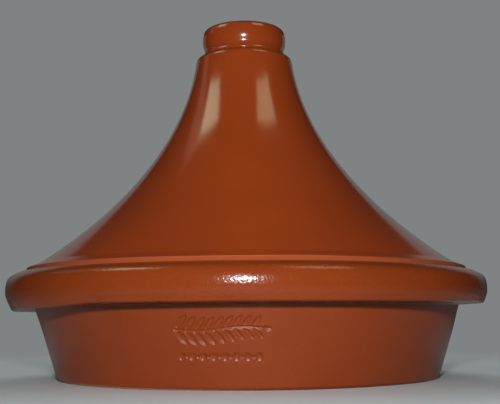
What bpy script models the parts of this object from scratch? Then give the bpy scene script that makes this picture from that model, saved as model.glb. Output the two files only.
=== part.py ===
"""Tagine pot in glazed earthenware: a wide base dish and the tall conical lid that sits in its gallery.

Metres, +Z up. The origin is the middle of the foot ring, on the surface that the dish stands on.
Heights on the dish are taken from that surface, and heights on the lid from the lid's own seat.
"""

import math

import bmesh
import bpy

MM = 0.001

# The lid's edge sets the size across: the dish is built outwards from it.
LID_RADIUS = 147.0 * MM
LID_CLEARANCE = 1.0 * MM
SEAT_GAP = 0.3 * MM

# Base dish
DISH_HEIGHT = 69.0 * MM
DISH_WALL = 8.0 * MM
DISH_FLOOR = 9.0 * MM
WALL_LEAN = math.radians(17.4)
FLOOR_CORNER_ROUND = 16.0 * MM
FOOT_RING_WIDTH = 10.0 * MM
FOOT_RECESS = 2.0 * MM
FOOT_ROUND = 1.8 * MM

# The rolled rim and the gallery that is cut into its top
RIM_WIDTH = 12.0 * MM
RIM_HEIGHT = 21.4 * MM
RIM_OVERHANG = 18.6 * MM
RIM_WIDEST_HEIGHT = 9.2 * MM
RIM_DRAFT = 2.3 * MM
RIM_UNDERCUT = 1.2 * MM
RIM_TOP_FALL = 3.2 * MM
CREST_WIDTH = 3.6 * MM
CREST_ROUND = 2.0 * MM
RIM_SHOULDER_ROUND = 5.0 * MM
RIM_CORNER_ROUND = 2.2 * MM
UNDERCUT_ROUND = 2.6 * MM
GALLERY_DEPTH = 8.0 * MM
GALLERY_ROUND = 1.0 * MM
LEDGE_ROUND = 2.4 * MM

# Lid edge and flank
LID_WALL = 7.0 * MM
LID_SEAT_WIDTH = 8.5 * MM
LID_EDGE_HEIGHT = 10.6 * MM
LID_EDGE_ROUND = 1.4 * MM
LID_SEAT_ROUND = 2.0 * MM
FLARE_WIDTH = 8.4 * MM
FLARE_RISE = 3.3 * MM
FLANK_RISE = 141.9 * MM
FLANK_FOOT_SLOPE = math.radians(34.5)
FLANK_FOOT_PULL = 14.3 * MM
NECK_RADIUS = 34.0 * MM
NECK_LEAN = math.radians(7.9)
NECK_PULL = 81.0 * MM

# Shoulder and knob
SHOULDER_RISE = 2.4 * MM
SHOULDER_ROUND = 3.6 * MM
SHOULDER_TOP_RISE = 0.9 * MM
KNOB_BASE_RADIUS = 26.8 * MM
KNOB_RADIUS = 29.8 * MM
KNOB_TOP_RADIUS = 28.4 * MM
KNOB_HEIGHT = 19.7 * MM
KNOB_BELLY_LOW = 8.6 * MM
KNOB_BELLY_HIGH = 13.2 * MM
KNOB_BASE_ROUND = 1.2 * MM
KNOB_BELLY_ROUND = 6.0 * MM
KNOB_TOP_ROUND = 7.0 * MM
KNOB_CROWN = 1.4 * MM
ROOF_THICKNESS = 9.0 * MM
DOME_RISE = 20.0 * MM

# Facets
TURN_STEPS = 64
FLANK_STEPS = 14
HOLLOW_STRIDE = 2
RIM_FACE_STEPS = 2
CROWN_STEPS = 2
DOME_STEPS = 4
ROUND_STEP = math.radians(30)
SMOOTH_UNDER = math.radians(40)
MERGE = 0.01 * MM

# A rounded corner takes no more than this share of each side that meets in it
SIDE_SHARE = 0.49

# Sizes that follow from the ones above
GALLERY_RADIUS = LID_RADIUS + LID_CLEARANCE
RIM_RADIUS = GALLERY_RADIUS + RIM_WIDTH
LEDGE_HEIGHT = DISH_HEIGHT - GALLERY_DEPTH
LID_SEAT_HEIGHT = LEDGE_HEIGHT + SEAT_GAP
WALL_TOP_RADIUS = RIM_RADIUS - RIM_OVERHANG
WALL_TOP_HEIGHT = DISH_HEIGHT - RIM_HEIGHT - RIM_UNDERCUT


def clear_scene():
    for item in list(bpy.data.objects):
        bpy.data.objects.remove(item, do_unlink=True)


def fired_clay(name, colour, roughness):
    material = bpy.data.materials.new(name)
    material.use_nodes = True
    shader = material.node_tree.nodes["Principled BSDF"]
    shader.inputs["Base Color"].default_value = (*colour, 1.0)
    shader.inputs["Roughness"].default_value = roughness
    shader.inputs["Metallic"].default_value = 0.0
    return material


def unit(a, b):
    """Direction from a to b, and the distance between them."""
    length = math.dist(a, b)
    return ((b[0] - a[0]) / length, (b[1] - a[1]) / length), length


def round_corner(before, corner, after, radius):
    """Points of the arc that rounds one corner, tangent to both of its sides."""
    back, back_length = unit(corner, before)
    on, on_length = unit(corner, after)
    opening = math.acos(max(-1.0, min(1.0, back[0] * on[0] + back[1] * on[1])))
    turn = math.pi - opening
    reach = min(radius * math.tan(turn / 2), SIDE_SHARE * back_length, SIDE_SHARE * on_length)
    fitted = reach / math.tan(turn / 2)
    middle = (back[0] + on[0], back[1] + on[1])
    to_centre = fitted / math.sin(opening / 2) / math.hypot(*middle)
    centre = (corner[0] + middle[0] * to_centre, corner[1] + middle[1] * to_centre)
    start = (corner[0] + back[0] * reach - centre[0], corner[1] + back[1] * reach - centre[1])
    side = 1 if back[0] * on[1] - back[1] * on[0] < 0 else -1
    pieces = max(1, math.ceil(turn / ROUND_STEP))
    arc = []
    for i in range(pieces + 1):
        angle = side * turn * i / pieces
        x = start[0] * math.cos(angle) - start[1] * math.sin(angle)
        y = start[0] * math.sin(angle) + start[1] * math.cos(angle)
        arc.append((centre[0] + x, centre[1] + y))
    return arc


def outline(corners):
    """Profile through (radius, height, rounding) corners. A corner with no rounding stays a plain point."""
    points = []
    for i, (radius, height, rounding) in enumerate(corners):
        if rounding:
            before = corners[i - 1][:2]
            after = corners[i + 1][:2]
            points += round_corner(before, (radius, height), after, rounding)
        else:
            points.append((radius, height))
    return points


def turned(name, profile, material, height, collection):
    """Turned solid about Z. Its profile runs from the axis down the outer side, and back to the axis."""
    mesh = bpy.data.meshes.new(name)
    build = bmesh.new()
    row = [build.verts.new((radius, 0.0, z)) for radius, z in profile]
    for above, below in zip(row, row[1:]):
        build.edges.new((above, below))
    build.to_mesh(mesh)
    build.free()
    mesh.materials.append(material)
    piece = bpy.data.objects.new(name, mesh)
    piece.location.z = height
    collection.objects.link(piece)
    screw = piece.modifiers.new("turning", "SCREW")
    screw.axis = "Z"
    screw.angle = 2 * math.pi
    screw.steps = TURN_STEPS
    screw.render_steps = TURN_STEPS
    screw.use_merge_vertices = True
    screw.merge_threshold = MERGE
    bpy.context.view_layer.update()
    evaluated = piece.evaluated_get(bpy.context.evaluated_depsgraph_get())
    piece.data = bpy.data.meshes.new_from_object(evaluated)
    piece.data.name = name
    piece.modifiers.clear()
    piece.data.shade_smooth()
    piece.data.set_sharp_from_angle(angle=SMOOTH_UNDER)
    return piece


def wall_outside(height):
    """Radius of the dish's leaning outer wall, carried on in a straight line above the rim's underside."""
    return WALL_TOP_RADIUS + (height - WALL_TOP_HEIGHT) * math.tan(WALL_LEAN)


def wall_inside(height):
    return wall_outside(height) - DISH_WALL / math.cos(WALL_LEAN)


def rim_face():
    """The rim's bulging outer face, top to bottom: a parabola either side of its widest line."""
    top = DISH_HEIGHT - RIM_TOP_FALL
    bottom = DISH_HEIGHT - RIM_HEIGHT
    widest = bottom + RIM_WIDEST_HEIGHT
    shares = [i / RIM_FACE_STEPS for i in range(1, RIM_FACE_STEPS)]
    upper = [(RIM_RADIUS - RIM_DRAFT * (1 - s) ** 2, top + (widest - top) * s, 0) for s in shares]
    lower = [(RIM_RADIUS - RIM_DRAFT * s**2, widest + (bottom - widest) * s, 0) for s in shares]
    return [
        (RIM_RADIUS - RIM_DRAFT, top, RIM_SHOULDER_ROUND),
        *upper,
        (RIM_RADIUS, widest, 0),
        *lower,
        (RIM_RADIUS - RIM_DRAFT, bottom, RIM_CORNER_ROUND),
    ]


def dish_profile():
    floor = FOOT_RECESS + DISH_FLOOR
    foot_inside = wall_outside(0.0) - FOOT_RING_WIDTH
    return outline([
        (0.0, floor, 0),
        (wall_inside(floor), floor, FLOOR_CORNER_ROUND),
        (wall_inside(LEDGE_HEIGHT), LEDGE_HEIGHT, LEDGE_ROUND),
        (GALLERY_RADIUS, LEDGE_HEIGHT, GALLERY_ROUND),
        (GALLERY_RADIUS, DISH_HEIGHT, CREST_ROUND),
        (GALLERY_RADIUS + CREST_WIDTH, DISH_HEIGHT, RIM_SHOULDER_ROUND),
        *rim_face(),
        (WALL_TOP_RADIUS, WALL_TOP_HEIGHT, UNDERCUT_ROUND),
        (wall_outside(0.0), 0.0, FOOT_ROUND),
        (foot_inside, 0.0, 0),
        (foot_inside - FOOT_RECESS, FOOT_RECESS, 0),
        (0.0, FOOT_RECESS, 0),
    ])


def flank():
    """Concave side of the lid, from the neck down to the flare, as (radius, height, outward normal)."""
    foot = (LID_RADIUS - FLARE_WIDTH, LID_EDGE_HEIGHT + FLARE_RISE)
    neck = (NECK_RADIUS, foot[1] + FLANK_RISE)
    neck_handle = (neck[0] + NECK_PULL * math.sin(NECK_LEAN), neck[1] - NECK_PULL * math.cos(NECK_LEAN))
    foot_handle = (
        foot[0] - FLANK_FOOT_PULL * math.cos(FLANK_FOOT_SLOPE),
        foot[1] + FLANK_FOOT_PULL * math.sin(FLANK_FOOT_SLOPE),
    )
    curve = []
    for i in range(FLANK_STEPS + 1):
        t = i / FLANK_STEPS
        weights = ((1 - t) ** 3, 3 * t * (1 - t) ** 2, 3 * t * t * (1 - t), t**3)
        slopes = (-3 * (1 - t) ** 2, 3 * (1 - t) * (1 - 3 * t), 3 * t * (2 - 3 * t), 3 * t * t)
        points = (neck, neck_handle, foot_handle, foot)
        radius, height = (sum(w * p[k] for w, p in zip(weights, points)) for k in (0, 1))
        along = [sum(s * p[k] for s, p in zip(slopes, points)) for k in (0, 1)]
        length = math.hypot(*along)
        curve.append((radius, height, (-along[1] / length, along[0] / length)))
    return curve


def knob_corners(base):
    """The flat-topped knob, from the middle of its crown down to where it stands on the shoulder."""
    top = base + KNOB_HEIGHT
    shares = [i / CROWN_STEPS for i in range(CROWN_STEPS)]
    crown = [(KNOB_TOP_RADIUS * s, top + KNOB_CROWN * (1 - s**2), 0) for s in shares]
    return [
        *crown,
        (KNOB_TOP_RADIUS, top, KNOB_TOP_ROUND),
        (KNOB_RADIUS, base + KNOB_BELLY_HIGH, KNOB_BELLY_ROUND),
        (KNOB_RADIUS, base + KNOB_BELLY_LOW, KNOB_BELLY_ROUND),
        (KNOB_BASE_RADIUS, base, KNOB_BASE_ROUND),
    ]


def hollow_corners(curve, roof):
    """The inside of the lid, from its seat up to the domed roof under the knob."""
    inside = [(r - LID_WALL * out[0], h - LID_WALL * out[1]) for r, h, out in curve[::HOLLOW_STRIDE]]
    inside = [(r, h) for r, h in inside if h < roof - DOME_RISE]
    spring_radius, spring_height = inside[0]
    dome = []
    for i in range(1, DOME_STEPS + 1):
        angle = math.pi / 2 * i / DOME_STEPS
        dome.append((
            spring_radius * math.cos(angle),
            spring_height + (roof - spring_height) * math.sin(angle),
            0,
        ))
    dome[-1] = (0.0, roof, 0)
    return [(r, h, 0) for r, h in reversed(inside)] + dome


def lid_profile():
    curve = flank()
    neck_radius, neck_height, _ = curve[0]
    shoulder = (neck_radius - SHOULDER_RISE * math.tan(NECK_LEAN), neck_height + SHOULDER_RISE)
    knob_base = shoulder[1] + SHOULDER_TOP_RISE
    corners = knob_corners(knob_base)
    corners.append((*shoulder, SHOULDER_ROUND))
    corners += [(r, h, 0) for r, h, _ in curve]
    corners += [
        (LID_RADIUS, LID_EDGE_HEIGHT, LID_EDGE_ROUND),
        (LID_RADIUS, 0.0, LID_SEAT_ROUND),
        (LID_RADIUS - LID_SEAT_WIDTH, 0.0, LID_SEAT_ROUND),
    ]
    corners += hollow_corners(curve, knob_base - ROOF_THICKNESS)
    return outline(corners)


def build_pot():
    pot = bpy.data.collections.new("tagine_pot")
    bpy.context.scene.collection.children.link(pot)
    dish_clay = fired_clay("dish_terracotta", (0.28, 0.062, 0.024), 0.30)
    lid_clay = fired_clay("lid_terracotta", (0.30, 0.060, 0.018), 0.18)
    turned("base_dish", dish_profile(), dish_clay, 0.0, pot)
    turned("lid", lid_profile(), lid_clay, LID_SEAT_HEIGHT, pot)


clear_scene()
build_pot()
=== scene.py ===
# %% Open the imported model
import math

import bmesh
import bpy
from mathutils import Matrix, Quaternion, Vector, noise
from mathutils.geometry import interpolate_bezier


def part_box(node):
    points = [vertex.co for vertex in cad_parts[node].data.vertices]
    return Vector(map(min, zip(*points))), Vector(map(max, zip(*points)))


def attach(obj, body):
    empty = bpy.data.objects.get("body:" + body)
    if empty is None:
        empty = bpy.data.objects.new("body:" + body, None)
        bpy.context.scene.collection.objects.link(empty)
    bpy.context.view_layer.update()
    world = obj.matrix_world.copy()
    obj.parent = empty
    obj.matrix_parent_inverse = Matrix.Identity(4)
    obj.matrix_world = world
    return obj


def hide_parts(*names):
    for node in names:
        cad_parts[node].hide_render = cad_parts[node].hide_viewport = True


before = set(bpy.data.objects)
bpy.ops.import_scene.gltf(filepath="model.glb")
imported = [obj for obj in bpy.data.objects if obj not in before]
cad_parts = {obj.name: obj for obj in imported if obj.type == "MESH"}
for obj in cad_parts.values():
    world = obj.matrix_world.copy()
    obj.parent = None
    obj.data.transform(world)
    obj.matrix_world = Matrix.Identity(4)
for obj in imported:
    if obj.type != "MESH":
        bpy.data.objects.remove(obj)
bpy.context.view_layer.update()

# %% [markdown]
# # A glazed tagine pot
#
# A tagine is a wide, low earthenware dish with a tall conical lid. Both pieces are turned on a wheel, so
# nearly everything about their shape is in one outline that goes round an axis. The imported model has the
# two solids at their right size and place, in plain facets. This notebook builds the two pieces again with
# soft thrown curves, an impressed ornament and a glaze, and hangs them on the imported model's two bodies.
#
# Blender works in metres. The outlines are easier to read in millimetres, so the pieces are modelled in
# millimetres and scaled once at the end.

MM = 0.001
_, dish_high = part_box("base_dish")
lid_low, lid_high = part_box("lid")
RIM_RADIUS = dish_high.x / MM
CREST_HEIGHT = dish_high.z / MM
LID_RADIUS = lid_high.x / MM
SEAT_HEIGHT = lid_low.z / MM
TOP_HEIGHT = lid_high.z / MM
print(f"rim {2 * RIM_RADIUS:.1f} mm across, lid {2 * LID_RADIUS:.1f} mm, {TOP_HEIGHT:.1f} mm high")

# %% [markdown]
# ## Outlines with rounded corners
#
# A potter pulls the wall up and then softens each corner with a wet finger. The outline is made the same
# way: a few corner points joined by edges, and then each corner bevelled into an arc. A curve object or a
# long table of points could also describe the outline, but a corner with a rounding is shorter and easy to
# change.
#
# A vertex bevel takes the distance that it may run along each edge. For an arc of a given radius, that
# distance is the radius times the tangent of half the turn.

# %% Corners and roundings
ARC_STEPS = 5


def arc_reach(before, corner, after, radius):
    """How far along its two sides an arc of this radius starts and ends."""
    back = (Vector(before) - Vector(corner)).normalized()
    on = (Vector(after) - Vector(corner)).normalized()
    turn = math.pi - back.angle(on)
    return radius * math.tan(turn / 2)


def outline(corners):
    """A bmesh with one open line through (radius, height, rounding) corners, in the plane y = 0."""
    shape = bmesh.new()
    dots = [shape.verts.new((radius, 0.0, height)) for radius, height, _ in corners]
    for first, second in zip(dots, dots[1:]):
        shape.edges.new((first, second))
    flat = [(radius, height) for radius, height, _ in corners]
    for i, (_, _, rounding) in enumerate(corners):
        if rounding:
            bmesh.ops.bevel(
                shape,
                geom=[dots[i]],
                offset=arc_reach(flat[i - 1], flat[i], flat[i + 1], rounding),
                offset_type="OFFSET",
                segments=ARC_STEPS,
                profile=0.5,
                affect="VERTICES",
                material=-1,
            )
    print(f"outline of {len(corners)} corners, {len(shape.verts)} points once rounded")
    return shape


# %% [markdown]
# A pulled wall also has long curves without any corner. Blender's own Bezier function gives points along
# such a curve from its two ends and its two handles.

# %% Long curves
def sweep(start, start_handle, end_handle, end, points):
    """Corners without rounding along a Bezier curve."""
    curve = interpolate_bezier(Vector(start), Vector(start_handle), Vector(end_handle), Vector(end), points)
    return [(point.x, point.y, 0) for point in curve]


def lean(distance, degrees):
    """A step of this length from straight down, tipped outwards by this angle."""
    angle = math.radians(degrees)
    return distance * math.sin(angle), -distance * math.cos(angle)


print("a 10 mm step that leans out by 30 degrees:", [round(part, 1) for part in lean(10, 30)])

# %% [markdown]
# ## Turn the outline on the wheel
#
# The Spin operator does the wheel's work. It copies the outline round Z in steps and joins the copies with
# faces. The Screw modifier would give the same surface, but Spin can take small steps where the ornament
# needs them and larger ones elsewhere.
#
# A full turn in one spin closes itself with `use_merge`. A turn made of two spins meets its own start with
# doubled points, so those are merged afterwards, together with the points that share the pole on the axis.
# Merging can leave faces pointing either way, so the normals are worked out again last.

# %% Spin an outline
MERGE_DISTANCE = 0.002
FULL_TURN = 360


def spun(shape, sectors):
    """Spins the outline through (start, sweep, steps) sectors in degrees that add up to a full turn."""
    start = Matrix.Rotation(math.radians(sectors[0][0]), 3, "Z")
    bmesh.ops.rotate(shape, verts=shape.verts, cent=(0, 0, 0), matrix=start)
    moving = shape.verts[:] + shape.edges[:]
    for _, angle, steps in sectors:
        turned = bmesh.ops.spin(
            shape,
            geom=moving,
            cent=(0, 0, 0),
            axis=(0, 0, 1),
            angle=math.radians(angle),
            steps=steps,
            use_merge=angle == FULL_TURN,
        )
        moving = turned["geom_last"]
    bmesh.ops.remove_doubles(shape, verts=shape.verts, dist=MERGE_DISTANCE)
    bmesh.ops.recalc_face_normals(shape, faces=shape.faces)
    open_edges = sum(edge.is_boundary for edge in shape.edges)
    print(f"turned: {len(shape.faces)} faces, {open_edges} open edges")
    return shape


# %% [markdown]
# ## A hand's small errors
#
# Nothing thrown by hand is perfectly round. The wall wanders by a few tenths of a millimetre, and that is
# what makes a reflection in the glaze look alive. A Displace modifier with a cloud texture would move the
# surface too, but it would push the foot and the seat off their planes. A plain function moves each point
# towards the axis only, so the piece never grows past its size.

# %% Wander of a thrown wall
WANDER = 0.16
WANDER_LENGTH = 55.0


def wander(shape):
    """Moves the points towards the axis by up to twice the wander, in slow waves."""
    for vert in shape.verts:
        radius = vert.co.xy.length
        if radius > 1.0:
            inward = WANDER * (1 + noise.noise(vert.co / WANDER_LENGTH))
            vert.co.x *= 1 - inward / radius
            vert.co.y *= 1 - inward / radius


def smooth(value, low, high):
    """0 below low, 1 above high, and a soft S between them."""
    share = min(1.0, max(0.0, (value - low) / (high - low)))
    return share * share * (3 - 2 * share)


print(f"the wall wanders by up to {2 * WANDER} mm; halfway up a soft step: {smooth(0.5, 0, 1)}")

# %% [markdown]
# ## Hand a piece over
#
# Each finished shape becomes an object whose points are already in place, so the object itself stays at the
# origin. Two calls then tie it to the imported model: the body that it rides on and the solid that it
# replaces.

# %% From bmesh to a riding piece
def finished(name, shape, body, node):
    """Turns a bmesh in millimetres into a smooth piece in metres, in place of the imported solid."""
    bmesh.ops.scale(shape, vec=(MM, MM, MM), verts=shape.verts)
    mesh = bpy.data.meshes.new(name)
    shape.to_mesh(mesh)
    shape.free()
    mesh.shade_smooth()
    piece = bpy.data.objects.new(name, mesh)
    bpy.context.scene.collection.objects.link(piece)
    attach(piece, body)
    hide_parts(node)
    return piece


# %% [markdown]
# ## The knob and the shoulder
#
# The knob is thrown in one with the cone and closed at the top. It has a soft belly, a waist where a finger
# went round, a small lip, and then a narrow groove where it meets the neck's round shoulder. It could be a
# disc of its own set on the cone, but the glaze of such a lid runs on without a joint, so its corners
# simply come first in the lid's outline.

# %% Knob corners, from the top down
KNOB_BASE = 220.4
ROOF_HEIGHT = 211.4

knob = [
    (0.0, TOP_HEIGHT, 0),
    (12.0, TOP_HEIGHT - 0.1, 0),
    (27.9, TOP_HEIGHT - 0.9, 3.4),
    (30.5, KNOB_BASE + 12.8, 14.0),
    (27.6, KNOB_BASE + 4.6, 6.4),
    (28.75, KNOB_BASE + 1.5, 0.9),
    (26.4, KNOB_BASE - 0.2, 0.8),
]
shoulder = [(33.6, KNOB_BASE - 0.4, 3.4)]
print(f"knob {TOP_HEIGHT - KNOB_BASE:.1f} mm high")

# %% [markdown]
# ## The cone
#
# Below the shoulder the flank is one long hollow curve that starts almost upright and flattens out towards
# the edge. That is a single Bezier curve with two handles, because a thrown cone has no corner in it. A few
# arcs joined together would also do, but each joint would show as a break in the long reflections.

# %% Flank of the cone
NECK = (34.0, 217.1)
NECK_LEAN, NECK_PULL = 7.9, 81.0
FLARE = (138.6, 75.2)
FLARE_LEAN, FLARE_PULL = 55.5, 14.3
FLANK_POINTS = 84

neck_step = lean(NECK_PULL, NECK_LEAN)
flare_step = lean(FLARE_PULL, FLARE_LEAN)
flank = sweep(
    NECK,
    (NECK[0] + neck_step[0], NECK[1] + neck_step[1]),
    (FLARE[0] - flare_step[0], FLARE[1] - flare_step[1]),
    FLARE,
    FLANK_POINTS,
)
print(f"flank from {NECK} to {FLARE} in {FLANK_POINTS} points")

# %% [markdown]
# ## The edge, the seat and the hollow
#
# The lid ends in a thin upright edge and a flat seat that rests in the dish. Inside, the wall follows the
# flank at one thickness and carries the shallow rings that the potter's fingers leave as the wheel turns. A
# Solidify modifier could make the wall, but then the seat and the rings would need their own work, so the
# inner line is simply the outer line moved inwards.

# %% Edge and hollow
LID_WALL = 7.0
SEAT_WIDTH = 8.5
EDGE_TOP = 71.9
RING_PITCH = 10.5
RING_DEPTH = 0.3
DOME_DROP = 20.0
DOME_PULL = 0.55
DOME_POINTS = 10

edge = [
    (LID_RADIUS, EDGE_TOP, 0.7),
    (LID_RADIUS, SEAT_HEIGHT, 1.6),
    (LID_RADIUS - SEAT_WIDTH, SEAT_HEIGHT, 2.0),
]


def finger_ring(height):
    """Depth of the throwing rings at a height."""
    return RING_DEPTH * math.cos(2 * math.pi * height / RING_PITCH)


def inside_of(line, wall):
    """The same line moved towards the axis by the wall's thickness, square to its own direction."""
    moved = []
    for before, here, after in zip(line, line[1:], line[2:]):
        along = (Vector(after[:2]) - Vector(before[:2])).normalized()
        depth = wall + finger_ring(here[1])
        moved.append((here[0] + depth * along.y, here[1] - depth * along.x, 0))
    return moved


hollow = [corner for corner in inside_of(flank, LID_WALL) if corner[1] < ROOF_HEIGHT - DOME_DROP]
spring = hollow[0]
dome = sweep(
    (0.0, ROOF_HEIGHT),
    (spring[0] * DOME_PULL, ROOF_HEIGHT),
    (spring[0], spring[1] + DOME_DROP * DOME_PULL),
    spring[:2],
    DOME_POINTS,
)[:-1]
lid_corners = knob + shoulder + flank + edge + hollow[::-1] + dome[::-1]
print(f"hollow from {SEAT_HEIGHT:.1f} to {ROOF_HEIGHT} mm, {len(hollow)} ring points")

# %% [markdown]
# A lid this size also settles a little in the kiln: its edge hangs slightly lower on one side, and the knob
# stands a touch off the middle.

# %% Lid mesh
LID_STEPS = 192
EDGE_SAG = 0.7
KNOB_SHIFT = 0.6

lid_shape = spun(outline(lid_corners), [(0, FULL_TURN, LID_STEPS)])
wander(lid_shape)
for vert in lid_shape.verts:
    outward = smooth(vert.co.x, 30.0, LID_RADIUS)
    vert.co.z -= EDGE_SAG * outward * smooth(vert.co.z, 66.0, 71.0)
    vert.co.x -= KNOB_SHIFT * smooth(vert.co.z, 90.0, 215.0)
lid = finished("lid_glazed", lid_shape, "lid", "lid")
print(f"lid: {len(lid.data.polygons)} faces")

# %% [markdown]
# ## The dish
#
# The dish's outline starts at the middle of the floor inside, goes up the wall to the ledge where the lid
# rests, over the crest, round the thick rolled rim, under it, down the leaning outer wall and in under the
# foot. The outer wall is divided finely, because an ornament is pressed into it later.

# %% Walls of the dish
WALL = 8.0
WALL_LEAN = math.radians(17.4)
WALL_TOP_RADIUS, WALL_TOP_HEIGHT = 141.56, 46.9
WALL_ROWS = 98
ROWS_UNDER_RIM = 7
ROWS_AT_FOOT = 5
FLOOR_HEIGHT = 11.0


def wall_outside(height):
    """Radius of the outer wall at a height."""
    return WALL_TOP_RADIUS + (height - WALL_TOP_HEIGHT) * math.tan(WALL_LEAN)


def wall_inside(height):
    """Radius of the inner wall at a height, with the throwing rings."""
    return wall_outside(height) - WALL / math.cos(WALL_LEAN) + finger_ring(height)


row_height = WALL_TOP_HEIGHT / WALL_ROWS
heights = [WALL_TOP_HEIGHT - i * row_height for i in range(ROWS_UNDER_RIM, WALL_ROWS - ROWS_AT_FOOT)]
outer_wall = [(wall_outside(height), height, 0) for height in heights]
inner_wall = [(wall_inside(height), height, 0) for height in range(26, 56, 2)]
print(f"outer wall in {len(outer_wall)} rows of {row_height:.2f} mm, inner wall in {len(inner_wall)}")

# %% [markdown]
# The rim is a fat roll that gives the fingers a grip. Its outer face is two shallow curves that meet at the
# widest place, with no corner between them.

# %% Rolled rim
BELLY_HEIGHT = 57.0
RIM_BOTTOM = 47.7

rim_over = sweep(
    (RIM_RADIUS - 3.6, CREST_HEIGHT - 2.2),
    (RIM_RADIUS - 0.9, CREST_HEIGHT - 4.0),
    (RIM_RADIUS, BELLY_HEIGHT + 5.0),
    (RIM_RADIUS, BELLY_HEIGHT),
    12,
)
rim_under = sweep(
    (RIM_RADIUS, BELLY_HEIGHT),
    (RIM_RADIUS, BELLY_HEIGHT - 3.2),
    (RIM_RADIUS - 0.8, BELLY_HEIGHT - 5.4),
    (RIM_RADIUS - 1.9, BELLY_HEIGHT - 7.4),
    10,
)
print(f"rim from {RIM_BOTTOM} to {CREST_HEIGHT:.0f} mm up, widest at {BELLY_HEIGHT}")

# %% Dish corners
LEDGE_HEIGHT = SEAT_HEIGHT - 0.3
GALLERY_RADIUS = LID_RADIUS + 1.0
FOOT_RING = 10.0
FOOT_RECESS = 2.0

foot_radius = wall_outside(0)
inside = [(0.0, FLOOR_HEIGHT, 0), (wall_inside(FLOOR_HEIGHT), FLOOR_HEIGHT, 14.0), *inner_wall]
gallery = [
    (wall_outside(LEDGE_HEIGHT) - WALL, LEDGE_HEIGHT, 1.8),
    (GALLERY_RADIUS, LEDGE_HEIGHT, 1.0),
    (GALLERY_RADIUS, CREST_HEIGHT, 1.3),
    (GALLERY_RADIUS + 3.8, CREST_HEIGHT, 3.0),
]
under_rim = [(RIM_RADIUS - 2.6, RIM_BOTTOM, 1.5), (WALL_TOP_RADIUS, WALL_TOP_HEIGHT, 1.2)]
foot = [
    (foot_radius, 0.0, 1.8),
    (foot_radius - FOOT_RING, 0.0, 0.5),
    (foot_radius - FOOT_RING - FOOT_RECESS, FOOT_RECESS, 0.8),
    (0.0, FOOT_RECESS, 0),
]
dish_corners = inside + gallery + rim_over + rim_under[1:] + under_rim + outer_wall + foot
print(f"dish: foot {2 * foot_radius:.1f} mm across, gallery {CREST_HEIGHT - LEDGE_HEIGHT:.1f} mm deep")

# %% [markdown]
# ## An ornament pressed into the wall
#
# While the clay is leather-hard, a carved stamp is pressed into the front of the dish: here a sprig of
# leaves over a row of beads. A bump map would look right only from straight ahead, so the points of the
# wall really move. Every part of the ornament is a small function that says how deep the stamp goes at a
# place on the wall, and the deepest one wins.
#
# `across` runs to the right along the wall and `up` is the height, both in millimetres from the stamp's
# middle line. A leaf is the overlap of two circles, so its tips are sharp.

# %% Shapes of the stamp
SOFT_EDGE = 0.55


def leaf(across, up, middle, angle, half_length, half_width):
    """Share of the full depth inside one leaf."""
    local = Matrix.Rotation(-angle, 2) @ (Vector((across, up)) - Vector(middle))
    circle = (half_length**2 + half_width**2) / (2 * half_width)
    inside_by = circle - math.hypot(local.x, abs(local.y) + circle - half_width)
    return smooth(inside_by, 0.0, SOFT_EDGE)


def bead(across, up, middle, radius):
    """Share of the full depth inside one round dot, deepest in its middle."""
    away = math.hypot(across - middle[0], up - middle[1])
    return math.sqrt(max(0.0, 1 - (away / radius) ** 2))


print("middle of a leaf:", leaf(0, 0, (0, 0), 0, 4, 1.5), "and off its side:", leaf(0, 3, (0, 0), 0, 4, 1.5))

# %% [markdown]
# The sprig has a gently waving stem. Its leaves stand in pairs and get smaller towards the tip.

# %% Where the leaves and beads go
SPRIG_HALF = 25.0
SPRIG_HEIGHT = 33.2
LEAF_PAIRS = 9
LEAF_PITCH = 5.3
LEAF_REACH = 6.0
LEAF_TURN = math.radians(47)
LEAF_TAPER = 0.28
LEAF_LENGTH, LEAF_WIDTH = 0.85, 0.31
STEM_WAVE, STEM_WAVE_LENGTH = 1.1, 8.5
BEAD_HEIGHT = 18.4
BEADS = 8
BEAD_PITCH = 6.0
BIG_BEAD, SMALL_BEAD = 2.1, 0.9


def stem_height(across):
    """Height of the stem's middle line."""
    return SPRIG_HEIGHT + STEM_WAVE * math.sin(across / STEM_WAVE_LENGTH)


leaves = [((SPRIG_HALF + 0.8, stem_height(SPRIG_HALF)), 0.0, 3.2, 1.3)]
for i in range(LEAF_PAIRS):
    root = -SPRIG_HALF + 0.5 + i * LEAF_PITCH
    size = 1 - LEAF_TAPER * i / LEAF_PAIRS
    for side in (-1, 1):
        angle = side * LEAF_TURN
        reach = LEAF_REACH * size
        middle = (root + reach * math.cos(angle), stem_height(root) + reach * math.sin(angle))
        leaves.append((middle, angle, LEAF_LENGTH * reach, LEAF_WIDTH * reach))
beads = [((BEAD_PITCH * (i - (BEADS - 1) / 2), BEAD_HEIGHT), BIG_BEAD) for i in range(BEADS)]
beads += [((BEAD_PITCH * (i - BEADS / 2 + 1), BEAD_HEIGHT), SMALL_BEAD) for i in range(BEADS - 1)]
print(f"{len(leaves)} leaves and {len(beads)} beads")

# %% [markdown]
# The dish is spun in two sectors: small steps behind the stamp and larger ones round the rest. Then each
# point of the outer wall under the stamp moves inwards, square to the leaning wall.

# %% Dish mesh
STAMP_AT = -96.6
STAMP_SWEEP = 27.4
STAMP_STEPS, REST_STEPS = 156, 168
STAMP_DEPTH = 0.9
STEM_HALF = 0.55
STEM_SOFT = 0.35
STAMP_LOW, STAMP_HIGH, STAMP_HALF = 14, 42, 30

dish_sectors = [
    (STAMP_AT - STAMP_SWEEP / 2, STAMP_SWEEP, STAMP_STEPS),
    (STAMP_AT + STAMP_SWEEP / 2, FULL_TURN - STAMP_SWEEP, REST_STEPS),
]
dish_shape = spun(outline(dish_corners), dish_sectors)


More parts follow.
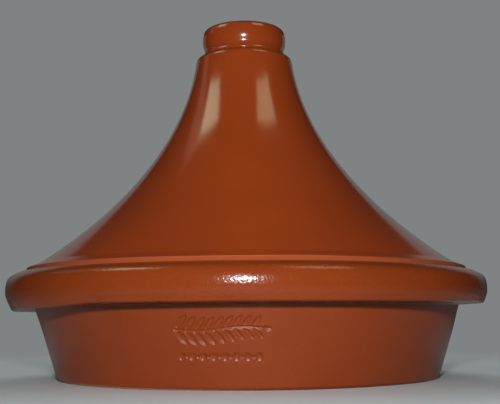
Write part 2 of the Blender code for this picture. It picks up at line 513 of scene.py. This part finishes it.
def pressed(across, up):
    """Share of the stamp's full depth at a place on the wall."""
    depth = 0.0
    if abs(across) < SPRIG_HALF:
        off_stem = abs(up - stem_height(across))
        depth = 1 - smooth(off_stem, STEM_HALF - STEM_SOFT, STEM_HALF + STEM_SOFT)
    for middle, angle, half_length, half_width in leaves:
        if abs(across - middle[0]) < half_length and abs(up - middle[1]) < half_length:
            depth = max(depth, leaf(across, up, middle, angle, half_length, half_width))
    for middle, radius in beads:
        if abs(across - middle[0]) < radius:
            depth = max(depth, bead(across, up, middle, radius))
    return depth


moved = 0
for vert in dish_shape.verts:
    up = vert.co.z
    radius = vert.co.xy.length
    across = radius * (math.atan2(vert.co.y, vert.co.x) - math.radians(STAMP_AT))
    if STAMP_LOW < up < STAMP_HIGH and abs(across) < STAMP_HALF and radius > wall_outside(up) - 1:
        depth = STAMP_DEPTH * pressed(across, up)
        inward = 1 - depth * math.cos(WALL_LEAN) / radius
        vert.co = (vert.co.x * inward, vert.co.y * inward, up + depth * math.sin(WALL_LEAN))
        moved += depth > 0
print(f"the stamp moved {moved} points by up to {STAMP_DEPTH} mm")

# %% [markdown]
# The rim of such a dish is rolled last, and by eye. So the bowl stands slightly off the rim's centre, the
# roll hangs lower and rounder at the left, and its crest is a little lower at the right. Each error grows
# softly from nothing at the first of two places to its full size at the second, both in millimetres.

# %% Settle the dish
BOWL_SHIFT = 0.8
ROLL_SAG = 2.0
END_SAG = 1.4
END_TUCK = 1.9
CREST_SAG = 0.7

wander(dish_shape)
for vert in dish_shape.verts:
    x, _, z = vert.co
    outside = smooth(vert.co.xy.length, WALL_TOP_RADIUS, WALL_TOP_RADIUS + 8)
    vert.co.x += BOWL_SHIFT * (1 - smooth(z, 30.0, 52.0))
    low = outside * (1 - smooth(z, 48.5, 54.0))
    end = smooth(-x, 122.0, 156.0)
    vert.co.z -= (ROLL_SAG * smooth(-x, 80.0, 114.0) + END_SAG * end) * low
    vert.co.x += END_TUCK * end * low
    vert.co.z -= CREST_SAG * smooth(x, 30.0, 150.0) * smooth(z, 63.0, 68.0)
dish = finished("dish_glazed", dish_shape, "dish", "base_dish")
print(f"dish: {len(dish.data.polygons)} faces")

# %% [markdown]
# ## Shader maths as sums
#
# A material is a graph of nodes, and a graph is hard to read as code. One small class wraps a node's
# output, so that `+`, `-` and `*` add the Math nodes, and a mask can be written as `1 - wall`.

# %% Outputs that can be added and multiplied
class Wire:
    """A node's output, so that sums on it can be written as on numbers."""

    def __init__(self, finish, socket):
        self.finish = finish
        self.socket = socket

    def maths(self, operation, first, second):
        return self.finish.add("ShaderNodeMath", {"operation": operation}, {0: first, 1: second})

    def __add__(self, other):
        return self.maths("ADD", self, other)

    def __sub__(self, other):
        return self.maths("SUBTRACT", self, other)

    def __rsub__(self, other):
        return self.maths("SUBTRACT", other, self)

    def __mul__(self, other):
        return self.maths("MULTIPLY", self, other)

    __radd__ = __add__
    __rmul__ = __mul__


# %% [markdown]
# The second class holds one material. Its `add` makes any node: first the node's settings, then the values
# or wires of its sockets. A socket that changes over the surface is fed a wire, and one that is the same
# all over keeps a plain value.

# %% A material and its nodes
class Finish:
    """One material, with a Principled shader to feed."""

    def __init__(self, name, **constants):
        self.material = bpy.data.materials.new(name)
        self.material.use_nodes = True
        self.tree = self.material.node_tree
        self.shader = self.tree.nodes["Principled BSDF"]
        for socket, value in constants.items():
            self.shader.inputs[socket].default_value = value

    def add(self, kind, settings=None, inputs=None, output=0):
        """Any node, given back as the wire of one of its outputs."""
        node = self.tree.nodes.new(kind)
        for key, value in (settings or {}).items():
            setattr(node, key, value)
        for key, value in (inputs or {}).items():
            self.put(self.find(node.inputs, key), value)
        return Wire(self, self.find(node.outputs, output))

    def find(self, sockets, key):
        if isinstance(key, int):
            return sockets[key]
        return next(socket for socket in sockets if key in (socket.identifier, socket.name))

    def put(self, socket, value):
        if isinstance(value, Wire):
            self.tree.links.new(value.socket, socket)
        else:
            socket.default_value = value

    def feed(self, name, value):
        self.put(self.shader.inputs[name], value)


print("shader classes ready")

# %% [markdown]
# Three patterns do all the work of the glaze: clouds, soft steps and blends. They all start from the Object
# coordinates, which stay with the piece when it is lifted. For a turned piece, the distance from the axis
# and the height say where on the outline a point is.

# %% Patterns
WHITE = (1, 1, 1)


def turned_place(finish):
    """Object coordinates, and from them the radius and the height in millimetres."""
    place = finish.add("ShaderNodeTexCoord", output="Object")
    flat = finish.add("ShaderNodeVectorMath", {"operation": "MULTIPLY"}, {0: place, 1: (1, 1, 0)}, "Vector")
    radius = finish.add("ShaderNodeVectorMath", {"operation": "LENGTH"}, {0: flat}, "Value")
    height = finish.add("ShaderNodeSeparateXYZ", None, {0: place}, "Z")
    return place, radius * (1 / MM), height * (1 / MM)


def clouds(finish, place, size, detail=2.0, stretch=WHITE):
    """A cloudy pattern from 0 to 1 whose blotches are about this many millimetres wide."""
    if stretch != WHITE:
        inputs = {0: place, 1: stretch}
        place = finish.add("ShaderNodeVectorMath", {"operation": "MULTIPLY"}, inputs, "Vector")
    inputs = {"Vector": place, "Scale": 1 / (size * MM), "Detail": detail}
    return finish.add("ShaderNodeTexNoise", None, inputs, "Fac")


def ease(finish, value, low, high, start=0.0, end=1.0):
    """Goes softly from start to end while value goes from low to high."""
    inputs = {"Value": value, "From Min": low, "From Max": high, "To Min": start, "To Max": end}
    return finish.add("ShaderNodeMapRange", {"interpolation_type": "SMOOTHSTEP"}, inputs)


def band(finish, value, low, high, soft):
    """1 between low and high, and 0 a little outside."""
    return ease(finish, value, low - soft, low) * ease(finish, value, high, high + soft, 1.0, 0.0)


def blend(finish, factor, first, second):
    """A colour between two colours or colour wires."""
    first, second = ((*c, 1) if isinstance(c, tuple) else c for c in (first, second))
    inputs = {"Factor_Float": factor, "A_Color": first, "B_Color": second}
    return finish.add("ShaderNodeMix", {"data_type": "RGBA"}, inputs, "Result_Color")


print("patterns ready")

# %% [markdown]
# ## Clay and glaze
#
# The clay is a red earthenware. The clear glaze over it makes it deep orange-brown, a little lighter where
# the kiln was hotter and streaked very faintly along the throwing lines. Where the glaze runs thin, on an
# edge, the colour gets paler, and painted shade darkens it in creases, corners and under the rim. Tiny
# specks of iron and sand show through.
#
# The same function glazes both pieces. The masks say where the glaze is thin or missing and where shade is
# painted, and they come from the place on the outline, so each piece passes its own.

# %% One glaze for both pieces
RAW_CLAY = (0.43, 0.2, 0.115)
SPECK = (0.13, 0.02, 0.006)
THROWN = (1, 1, 9)
KILN_LIGHT = 1.13
# How much the painted shade darkens the glaze colour.
SHADE_DARK = 0.5
SAND_DARK = 0.8


def glaze_colour(finish, place, deep, thin, masks, speck_share):
    """Kiln clouds, throwing lines, pale edges, painted shade, specks, and raw clay where there's no glaze.
    """
    kiln = ease(finish, clouds(finish, place, 60, 3.0), 0.3, 0.7)
    lines = clouds(finish, place, 30, 3.0, THROWN)
    light = tuple(min(1.0, part * KILN_LIGHT) for part in deep)
    colour = blend(finish, kiln * 0.6 + lines * 0.5 - 0.05, deep, light)
    colour = blend(finish, masks["thin"], colour, thin)
    # Painted shade: the colour darkens where the painted-shade mask is set.
    colour = blend(finish, masks["painted_shade"], colour, tuple(part * SHADE_DARK for part in deep))
    grains = clouds(finish, place, 0.9, 1.0)
    colour = blend(finish, ease(finish, grains, 0.66, 0.74) * speck_share, colour, SPECK)
    colour = blend(finish, ease(finish, grains, 0.3, 0.24) * speck_share, colour, thin)
    dark_sand = tuple(part * SAND_DARK for part in RAW_CLAY)
    sand = blend(finish, ease(finish, grains, 0.35, 0.7), RAW_CLAY, dark_sand)
    return blend(finish, masks["raw"], colour, sand)


print("raw clay", RAW_CLAY, "specks", SPECK)

# %% [markdown]
# ### The lid's glaze
#
# The lid is smooth and glossy. Its upright edge was wiped, so the glaze there is thin, pale and almost
# matt, and the seat is bare because a glazed seat would fuse to the shelf in the kiln. The groove under the
# knob is darkened as painted shade. A very low, wide bump makes the reflections swim a little.

# %% Glaze the lid
LID_COLOUR = (0.297, 0.0458, 0.0078)
LID_THIN = (0.33, 0.056, 0.007)
LID_GLOSS = 0.15
EDGE_MATT = 0.85
RAW_MATT = 0.85
LID_SPECKS = 0.25
SWIM_DEPTH = 0.00004

glaze = Finish("lid_glaze", Roughness=LID_GLOSS, IOR=1.5)
place, radius, height = turned_place(glaze)
edge_face = ease(glaze, radius, LID_RADIUS - 1.3, LID_RADIUS - 0.6)
edge_face = edge_face * ease(glaze, height, EDGE_TOP + 0.3, EDGE_TOP - 0.9)
masks = {
    "thin": edge_face,
    # Painted shade in the narrow groove under the knob.
    "painted_shade": band(glaze, height, KNOB_BASE - 0.9, KNOB_BASE + 0.6, 0.8) * ease(glaze, radius, 31, 28) * 0.8,
    "raw": ease(glaze, height, SEAT_HEIGHT + 0.4, SEAT_HEIGHT + 0.1),
}
glaze.feed("Base Color", glaze_colour(glaze, place, LID_COLOUR, LID_THIN, masks, LID_SPECKS))
breath = clouds(glaze, place, 14) - 0.5
gloss = LID_GLOSS + breath * 0.06 + edge_face * EDGE_MATT
glaze.feed("Roughness", gloss + masks["raw"] * (RAW_MATT - LID_GLOSS))
swim = clouds(glaze, place, 7, 1.0) * (1 - masks["raw"]) + clouds(glaze, place, 0.8) * masks["raw"]
bump = glaze.add("ShaderNodeBump", None, {"Strength": 1.0, "Distance": SWIM_DEPTH, "Height": swim}, "Normal")
glaze.feed("Normal", bump)
lid.data.materials.append(glaze.material)
print(f"lid glaze: {len(glaze.tree.nodes)} nodes")

# %% [markdown]
# ### The dish's glaze
#
# The dish was dipped and fired lower in the kiln, and its glaze is duller than the lid's, so it mirrors the
# pale floor only faintly. A thin clear coat on the rim's upper half brings the gloss back there. The rim has
# a fine orange peel, which breaks a highlight into sparkles, and the wall is satin and speckled. The
# underside, the foot ring and the ledge that carries the lid are bare clay. Shade is painted into the colour
# where the floor turns up into the wall, close under the rim and at the foot, which look darker there.

# %% Glaze the dish
DISH_COLOUR = (0.205, 0.0342, 0.0062)
DISH_THIN = (0.34, 0.085, 0.034)
RIM_GLOSS = 0.17
SHEEN = 0.25
RIM_COAT = 0.2
COAT_SOFTNESS = 0.12
WALL_SATIN = 0.17
PEEL_DEPTH = 0.00014
BARE_RADIUS = 126
DISH_SPECKS = 0.45

glaze = Finish("dish_glaze", Roughness=RIM_GLOSS, IOR=1.5)
glaze.feed("Specular IOR Level", SHEEN)
glaze.feed("Coat Roughness", COAT_SOFTNESS)
place, radius, height = turned_place(glaze)
below_rim = ease(glaze, height, RIM_BOTTOM + 0.5, RIM_BOTTOM - 1.5)
wall = below_rim * ease(glaze, radius, foot_radius - 2, foot_radius)
foot_bare = ease(glaze, height, 0.3, 0.1)
under_bare = ease(glaze, height, FOOT_RECESS + 1.5, FOOT_RECESS + 0.8)
under_bare = under_bare * ease(glaze, radius, foot_radius, BARE_RADIUS)
ledge_bare = band(glaze, height, LEDGE_HEIGHT - 0.7, LEDGE_HEIGHT + 0.2, 0.2)
ledge_bare = ledge_bare * ease(glaze, radius, GALLERY_RADIUS + 1.5, GALLERY_RADIUS + 0.6)
raw = glaze.add("ShaderNodeMath", {"operation": "MAXIMUM"}, {0: foot_bare, 1: under_bare + ledge_bare})
# Painted shade: darker colour in the floor's inner corner, close under the rim and along the foot's contact.
floor_corner_shade = band(glaze, height, FLOOR_HEIGHT - 1, FLOOR_HEIGHT + 3, 3) * band(glaze, radius, 104, 120, 8)
under_rim_shade = band(glaze, height, WALL_TOP_HEIGHT - 1.5, WALL_TOP_HEIGHT + 0.7, 1.2)
under_rim_shade = under_rim_shade * band(glaze, radius, 139, 147, 3)
foot_contact_shade = ease(glaze, height, 2.2, 0.6) * ease(glaze, radius, foot_radius - 2.5, foot_radius - 1.2)
masks = {
    "thin": ease(glaze, height, CREST_HEIGHT - 1.2, CREST_HEIGHT - 0.3) * 0.35,
    "painted_shade": floor_corner_shade * 0.6 + under_rim_shade * 0.5 + foot_contact_shade * 0.8,
    "raw": raw,
}
glaze.feed("Base Color", glaze_colour(glaze, place, DISH_COLOUR, DISH_THIN, masks, DISH_SPECKS))
breath = clouds(glaze, place, 12) - 0.5
gloss = RIM_GLOSS + breath * 0.08 + wall * WALL_SATIN
glaze.feed("Coat Weight", ease(glaze, height, BELLY_HEIGHT + 1, BELLY_HEIGHT + 6) * RIM_COAT)
glaze.feed("Roughness", gloss + raw * (RAW_MATT - RIM_GLOSS - 0.15))
peel = clouds(glaze, place, 1.7, 1.0) * (1 - wall * 0.6)
bump = glaze.add("ShaderNodeBump", None, {"Strength": 1.0, "Distance": PEEL_DEPTH, "Height": peel}, "Normal")
glaze.feed("Normal", bump)
dish.data.materials.append(glaze.material)
print(f"dish glaze: {len(glaze.tree.nodes)} nodes")

# %% [markdown]
# ## Light
#
# One small bright lamp close to the camera lights the front, as a flash does, and gives the tiny white
# sparks. Two soft boxes high on the sides make the two long streaks on the neck. A real soft box also fills
# the shadows. Here the streak and the fill are separate lamps, so each can be set alone: one is seen only
# in reflections and the other only lights the clay. A faint warm box far round at the left stands for a wall
# of the room, seen in the glaze, and a large lamp at the back lights the floor behind the pot.

# %% Lamps
AIM = Vector((0, 0, 0.1))


def lamp(name, size, place, power, colour=WHITE, streak=True, fill=True, turn=0):
    """An area lamp that looks at the pot: a disc with one size, and a rectangle with two."""
    light = bpy.data.lights.new(name, "AREA")
    light.shape = "DISK" if len(size) == 1 else "RECTANGLE"
    light.size = size[0]
    light.size_y = size[-1]
    light.energy = power
    light.color = colour
    item = bpy.data.objects.new(name, light)
    item.location = place
    upright = (AIM - Vector(place)).to_track_quat("-Z", "Y")
    item.rotation_euler = (upright @ Quaternion((0, 0, 1), math.radians(turn))).to_euler()
    item.visible_glossy = streak
    item.visible_diffuse = fill
    bpy.context.scene.collection.objects.link(item)
    return item


def around(azimuth, elevation, distance=1.0):
    """A place this far from the pot: azimuth 0 is the front, 90 the right, and elevation is upwards."""
    side, rise = math.radians(azimuth), math.radians(elevation)
    level = math.cos(rise)
    return AIM + distance * Vector((math.sin(side) * level, -math.cos(side) * level, math.sin(rise)))


print("lamp at the right, halfway up:", [round(part, 2) for part in around(90, 45)])

# %% Set the lamps
LEFT_SIZE = (0.36, 0.31)
RIGHT_SIZE = (0.38, 0.34)
LEFT_BOX = around(-76.6, 51.9, 1.086)
RIGHT_BOX = around(48.6, 56.2, 1.088)

lamp("flash", (0.038,), (-0.01, -0.62, 0.144), 2.83)
lamp("left_streak", LEFT_SIZE, LEFT_BOX, 1.4, (0.9, 1.0, 0.66), fill=False, turn=14)
lamp("right_streak", RIGHT_SIZE, RIGHT_BOX, 1.15, (0.96, 1.0, 0.6), fill=False, turn=-22)
lamp("warm_wall", (0.21, 0.5), around(-104, 43), 0.17, (1.0, 0.64, 0.54), fill=False)
lamp("left_fill", LEFT_SIZE, LEFT_BOX, 0.45, streak=False)
lamp("right_fill", RIGHT_SIZE, RIGHT_BOX, 0.45, streak=False)
lamp("back_light", (0.7, 0.5), around(180, 32, 1.2), 5.0, streak=False)

# %% [markdown]
# ## Floor and backdrop
#
# The pot stands on a pale paper sweep. A curved backdrop would get in the way when the camera goes round
# the pot, so the floor is a wide disc that fades, a hand's breadth from the pot, into the grey of the world
# behind it. The lamps light only the part near the pot, and the glaze mirrors the far part more dimly than
# the camera sees it, as it would a floor that ends in a dark room.

# %% A piece of the studio
def studio_piece(name, shape, finish):
    """An object from a bmesh in metres, with its finish on."""
    mesh = bpy.data.meshes.new(name)
    shape.to_mesh(mesh)
    shape.free()
    mesh.materials.append(finish.material)
    item = bpy.data.objects.new(name, mesh)
    bpy.context.scene.collection.objects.link(item)
    return item


print("studio helper ready")

# %% Floor
PAPER = (0.75, 0.83, 0.845, 1)
HORIZON = (0.215, 0.226, 0.227, 1)
FLOOR_RADIUS = 3.0
FADE_FROM, FADE_TO = 220, 480
MIRRORED_SHARE = 0.3

floor_shape = bmesh.new()
bmesh.ops.create_circle(floor_shape, cap_ends=True, segments=96, radius=FLOOR_RADIUS)

paper = Finish("pale_paper", Roughness=0.6)
paper.feed("Base Color", PAPER)
place, away, _ = turned_place(paper)
seen = paper.add("ShaderNodeLightPath", output="Is Camera Ray")
strength = seen * (1 - MIRRORED_SHARE) + MIRRORED_SHARE
glow = paper.add("ShaderNodeEmission", None, {"Color": HORIZON, "Strength": strength})
lit = Wire(paper, paper.shader.outputs[0])
fade = ease(paper, away, FADE_FROM, FADE_TO)
faded = paper.add("ShaderNodeMixShader", None, {"Fac": fade, 1: lit, 2: glow})
paper.put(paper.tree.nodes["Material Output"].inputs["Surface"], faded)

floor = studio_piece("floor", floor_shape, paper)
print(f"floor {2 * FLOOR_RADIUS} m across")

# %% [markdown]
# Behind the pot stands a low curved screen in the same grey, darker near the floor. Where the glaze turns
# away at the sides, it mirrors the screen as a soft pale line. The camera looks through it, so the backdrop
# stays plain, and it stands further off than a camera needs to go round the pot.

# %% Screen behind the pot
SCREEN_RADIUS = 1.5
SCREEN_HEIGHT = 0.82
SCREEN_HALF = math.radians(48)
BLACK = (0, 0, 0, 1)
SCREEN_LOW = (0.05, 0.052, 0.05)
LIGHTER_FROM, LIGHTER_TO = 80, 420

screen_shape = bmesh.new()
start = Matrix.Rotation(-SCREEN_HALF, 3, "Z") @ Vector((0, SCREEN_RADIUS, 0))
foot_dot = screen_shape.verts.new(start)
top_dot = screen_shape.verts.new(start + Vector((0, 0, SCREEN_HEIGHT)))
upright = screen_shape.edges.new((foot_dot, top_dot))
bmesh.ops.spin(
    screen_shape,
    geom=[foot_dot, top_dot, upright],
    cent=(0, 0, 0),
    axis=(0, 0, 1),
    angle=2 * SCREEN_HALF,
    steps=24,
)

cloth = Finish("grey_screen", Roughness=1.0)
cloth.feed("Base Color", BLACK)
cloth.feed("Emission Strength", 1.0)
_, _, rise = turned_place(cloth)
lighter = ease(cloth, rise, LIGHTER_FROM, LIGHTER_TO)
cloth.feed("Emission Color", blend(cloth, lighter, SCREEN_LOW, HORIZON[:3]))

screen = studio_piece("screen", screen_shape, cloth)
screen.visible_camera = False
print(f"screen {SCREEN_HEIGHT} m high, {SCREEN_RADIUS} m behind")

# %% [markdown]
# The world has two greys: the camera sees the backdrop's, and everything else gets a much darker one, so
# the room adds almost no light of its own.

# %% World
ROOM = (0.014, 0.014, 0.015, 1)

world = bpy.data.worlds.new("studio")
world.use_nodes = True
bpy.context.scene.world = world
sky = world.node_tree
backdrop = sky.nodes["Background"]
backdrop.inputs["Color"].default_value = HORIZON
room = sky.nodes.new("ShaderNodeBackground")
room.inputs["Color"].default_value = ROOM
path = sky.nodes.new("ShaderNodeLightPath")
pick = sky.nodes.new("ShaderNodeMixShader")
sky.links.new(path.outputs["Is Camera Ray"], pick.inputs["Fac"])
sky.links.new(room.outputs[0], pick.inputs[1])
sky.links.new(backdrop.outputs[0], pick.inputs[2])
sky.links.new(pick.outputs[0], sky.nodes["World Output"].inputs["Surface"])
bpy.context.scene.view_settings.view_transform = "Standard"
print("world colours:", HORIZON[:3], ROOM[:3])

# %% [markdown]
# ## Camera
#
# The camera is low, at a little over half the rim's height, quite close, and tipped up by seven degrees.
# From there the rim hides the seat of the lid, and the knob's flat top shows only as its outline.

# %% Camera
LENS = 64.8
CAMERA_PLACE = (0, -0.62, 0.0388)
CAMERA_TURN = (97.365, 0.401, -0.209)

camera = bpy.data.objects.new("camera", bpy.data.cameras.new("camera"))
camera.data.lens = LENS
camera.location = CAMERA_PLACE
camera.rotation_euler = [math.radians(angle) for angle in CAMERA_TURN]
bpy.context.scene.collection.objects.link(camera)
bpy.context.scene.camera = camera
print(f"camera {-CAMERA_PLACE[1] / MM:.0f} mm in front, {CAMERA_PLACE[2] / MM:.1f} mm up")
